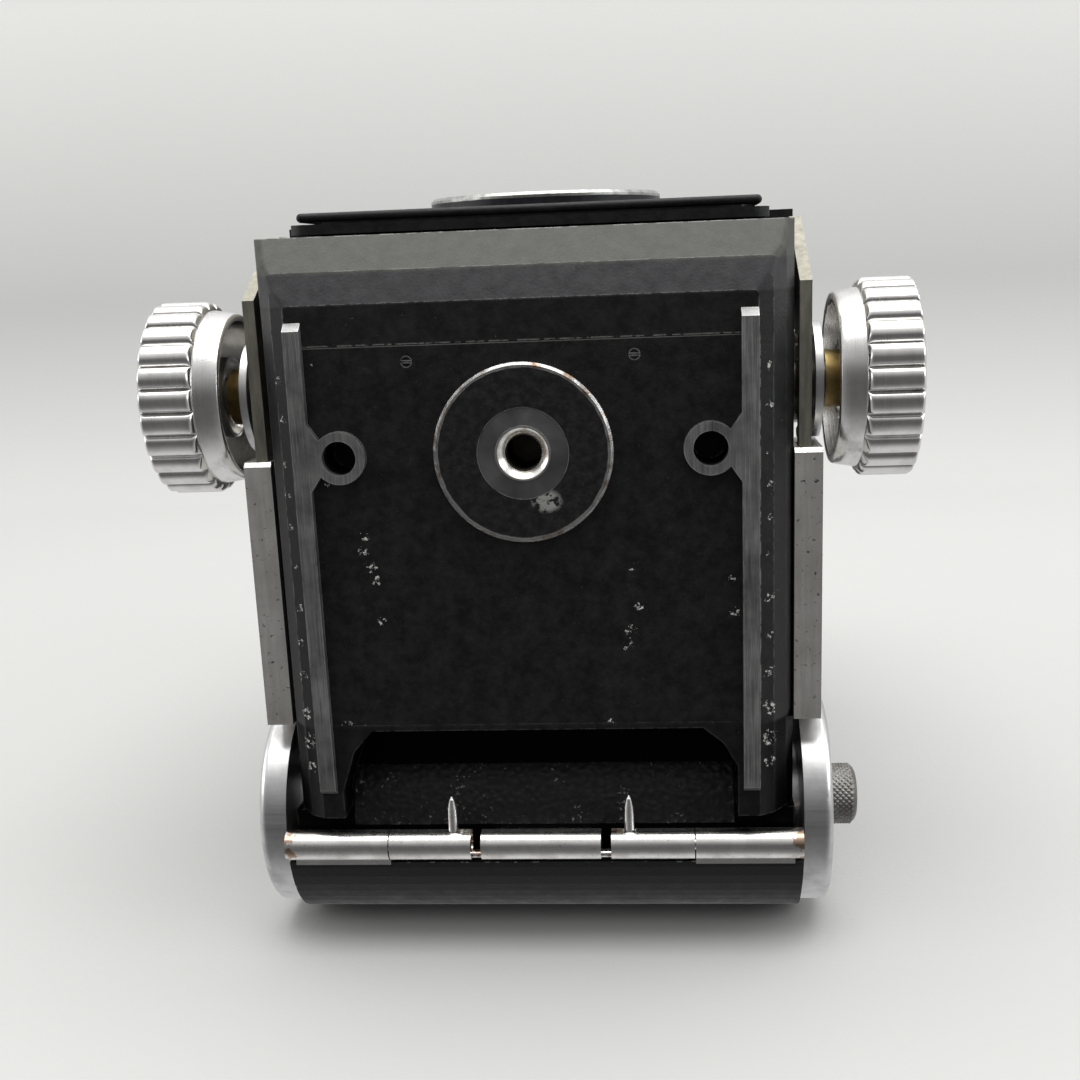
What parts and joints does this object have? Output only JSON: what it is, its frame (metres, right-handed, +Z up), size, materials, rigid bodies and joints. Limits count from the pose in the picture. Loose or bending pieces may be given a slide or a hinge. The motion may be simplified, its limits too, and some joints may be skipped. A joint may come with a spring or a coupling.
{
  "type": "twin lens reflex camera",
  "caption": "Black roll-film camera with stacked lenses, bellows focusing on racks, side knobs, folding hood and hinged back.",
  "frame": {"origin": "mouth of the tripod socket, in the plane of the two base rails that the camera stands on", "axes": "+Z up towards the viewing hood, -Y the way the lenses face, +X on the right of a person looking at the lenses"},
  "size_m": [0.122, 0.1249, 0.2006],
  "materials": {
    "black_paint": "fine textured matte black enamel, worn at edges",
    "black_alloy": "fine textured matte black enamel on a light casting, worn at edges",
    "rail_steel": "worn grey",
    "grey_anodised": "satin dark grey",
    "nickel": "worn nickel plate",
    "satin_aluminium": "satin turned",
    "rack_steel": "dull, oiled",
    "housing_alloy": "brushed with small pits",
    "leatherette": "pebbled black",
    "brass": "turned",
    "black_cloth": "bellows cloth",
    "lens_glass": "coated",
    "mirror_silver": "front silvered",
    "ground_glass": "ground",
    "black_plastic": "moulded"
  },
  "bodies": {
    "camera_body": {"body_casting": "black_alloy", "base_plate": "black_alloy", "base_rails": "rail_steel", "tripod_disc": "black_alloy", "tripod_ring": "grey_anodised", "tripod_bush": "nickel", "body_screws": "rail_steel", "supply_end_discs": "satin_aluminium", "rack_housings": "housing_alloy", "side_leathers": "leatherette", "strap_lugs": "nickel", "bearing_plates": "satin_aluminium", "bearing_screws": "rail_steel", "bellows_frames": "black_alloy", "film_rollers": "satin_aluminium", "reflex_mirror": "mirror_silver", "focusing_screen": "ground_glass", "hood_frame": "black_alloy", "hinge_bar": "nickel"},
    "door": {"back_door": "black_alloy", "door_leather": "leatherette", "pressure_plate": "grey_anodised", "pressure_springs": "nickel", "door_knuckles": "nickel"},
    "hinge_pin_right": {"hinge_pin_right": "nickel"},
    "hinge_pin_left": {"hinge_pin_left": "nickel"},
    "door_latch": {"door_latch": "nickel"},
    "front": {"front_standard": "black_alloy", "rack_arms": "rack_steel", "lens_board": "black_alloy", "sync_socket": "nickel", "taking_lens_ring": "satin_aluminium", "taking_lens_glass": "lens_glass", "shutter_housing": "black_alloy", "shutter_blades": "rail_steel", "viewing_lens_ring": "satin_aluminium", "viewing_lens_glass": "lens_glass", "lens_barrels": "black_alloy", "bellows": "black_cloth"},
    "focus_drive": {"focus_shaft": "rack_steel", "focus_knobs": "satin_aluminium", "friction_nuts": "brass"},
    "speed_ring": {"speed_ring": "satin_aluminium"},
    "aperture_ring": {"aperture_ring": "satin_aluminium"},
    "cocking_lever": {"cocking_lever": "nickel"},
    "release_lever": {"release_lever": "nickel"},
    "lens_bail": {"lens_bail": "nickel"},
    "release_button": {"release_button": "nickel"},
    "supply_spool": {"supply_spool": "black_plastic"},
    "takeup_spool": {"takeup_spool": "black_plastic"},
    "supply_spool_knob": {"supply_spool_knob": "satin_aluminium"},
    "takeup_spool_knob": {"takeup_spool_knob": "satin_aluminium"},
    "film_crank": {"film_crank": "satin_aluminium"},
    "crank_grip": {"crank_grip": "black_plastic"},
    "hood_left": {"hood_left_panel": "black_paint"},
    "hood_right": {"hood_right_panel": "black_paint"},
    "hood_rear": {"hood_rear_panel": "black_paint"},
    "hood_front": {"hood_front_panel": "black_paint"},
    "magnifier": {"magnifier_frame": "black_paint", "magnifier_lens": "lens_glass"}
  },
  "joints": [
    {"name": "focus_slide", "type": "slide", "parent": "camera_body", "child": "front", "axis": [0, -1, 0], "range_m": [0, 0.04084], "deforming": ["bellows"]},
    {"name": "focus_turn", "type": "hinge", "parent": "camera_body", "child": "focus_drive", "pos_m": [0, -0.0082, 0.0194], "axis": [-1, 0, 0], "range_deg": [0, 470]},
    {"name": "door_hinge", "type": "hinge", "parent": "camera_body", "child": "door", "pos_m": [0, 0.0653, 0.0026], "axis": [-1, 0, 0], "range_deg": [0, 95]},
    {"name": "hinge_pin_right_slide", "type": "slide", "parent": "camera_body", "child": "hinge_pin_right", "axis": [-1, 0, 0], "range_m": [0, 0.0026]},
    {"name": "hinge_pin_left_slide", "type": "slide", "parent": "camera_body", "child": "hinge_pin_left", "axis": [1, 0, 0], "range_m": [0, 0.0026]},
    {"name": "door_latch_slide", "type": "slide", "parent": "camera_body", "child": "door_latch", "axis": [0, 0, 1], "range_m": [0, 0.003]},
    {"name": "speed_ring_turn", "type": "hinge", "parent": "front", "child": "speed_ring", "pos_m": [0, -0.03685, 0.062], "axis": [0, 1, 0], "range_deg": [-10, 20]},
    {"name": "aperture_ring_turn", "type": "hinge", "parent": "front", "child": "aperture_ring", "pos_m": [0, -0.0375, 0.062], "axis": [0, 1, 0], "range_deg": [-20, 10]},
    {"name": "cocking_lever_swing", "type": "hinge", "parent": "front", "child": "cocking_lever", "pos_m": [0.0155, -0.0366, 0.0865], "axis": [0, 1, 0], "range_deg": [0, 38]},
    {"name": "release_lever_swing", "type": "hinge", "parent": "front", "child": "release_lever", "pos_m": [-0.0155, -0.0366, 0.0865], "axis": [0, 1, 0], "range_deg": [-20, 0]},
    {"name": "lens_bail_swing", "type": "hinge", "parent": "front", "child": "lens_bail", "pos_m": [0, -0.0366, 0.07], "axis": [1, 0, 0], "range_deg": [-75, 0]},
    {"name": "release_button_press", "type": "slide", "parent": "camera_body", "child": "release_button", "axis": [-1, 0, 0], "range_m": [0, 0.0015], "stiffness_N_per_m": 300},
    {"name": "supply_knob_pull", "type": "slide", "parent": "camera_body", "child": "supply_spool_knob", "axis": [1, 0, 0], "range_m": [0, 0.005]},
    {"name": "takeup_knob_pull", "type": "slide", "parent": "camera_body", "child": "takeup_spool_knob", "axis": [1, 0, 0], "range_m": [0, 0.005]},
    {"name": "film_crank_turn", "type": "hinge", "parent": "camera_body", "child": "film_crank", "pos_m": [-0.047, 0.062, 0.1045], "axis": [-1, 0, 0], "continuous": true},
    {"name": "crank_grip_turn", "type": "hinge", "parent": "film_crank", "child": "crank_grip", "pos_m": [-0.056, 0.04, 0.1045], "axis": [-1, 0, 0], "continuous": true},
    {"name": "takeup_spool_turn", "type": "hinge", "parent": "camera_body", "child": "takeup_spool", "pos_m": [0, 0.062, 0.1045], "axis": [-1, 0, 0], "continuous": true},
    {"name": "supply_spool_turn", "type": "hinge", "parent": "camera_body", "child": "supply_spool", "pos_m": [0, 0.0645, 0.0216], "axis": [-1, 0, 0], "continuous": true},
    {"name": "hood_left_fold", "type": "hinge", "parent": "camera_body", "child": "hood_left", "pos_m": [-0.0296, 0.045, 0.142], "axis": [0, 1, 0], "range_deg": [0, 90], "stiffness_Nm_per_rad": 0.008},
    {"name": "hood_right_fold", "type": "hinge", "parent": "camera_body", "child": "hood_right", "pos_m": [0.0296, 0.045, 0.1432], "axis": [0, -1, 0], "range_deg": [0, 90], "stiffness_Nm_per_rad": 0.008},
    {"name": "hood_rear_fold", "type": "hinge", "parent": "camera_body", "child": "hood_rear", "pos_m": [0, 0.0724, 0.1444], "axis": [1, 0, 0], "range_deg": [0, 90], "stiffness_Nm_per_rad": 0.008},
    {"name": "hood_front_fold", "type": "hinge", "parent": "camera_body", "child": "hood_front", "pos_m": [0, 0.0174, 0.1476], "axis": [-1, 0, 0], "range_deg": [0, 90], "stiffness_Nm_per_rad": 0.008},
    {"name": "magnifier_swing", "type": "hinge", "parent": "hood_front", "child": "magnifier", "pos_m": [0, 0.0187, 0.1896], "axis": [-1, 0, 0], "range_deg": [-90, 0]}
  ],
  "couplings": [
    {"joint": "focus_turn", "follows": "focus_slide", "rad_per_m": 200},
    {"joint": "takeup_spool_turn", "follows": "film_crank_turn", "ratio": 1},
    {"joint": "supply_spool_turn", "follows": "film_crank_turn", "ratio": 1}
  ]
}
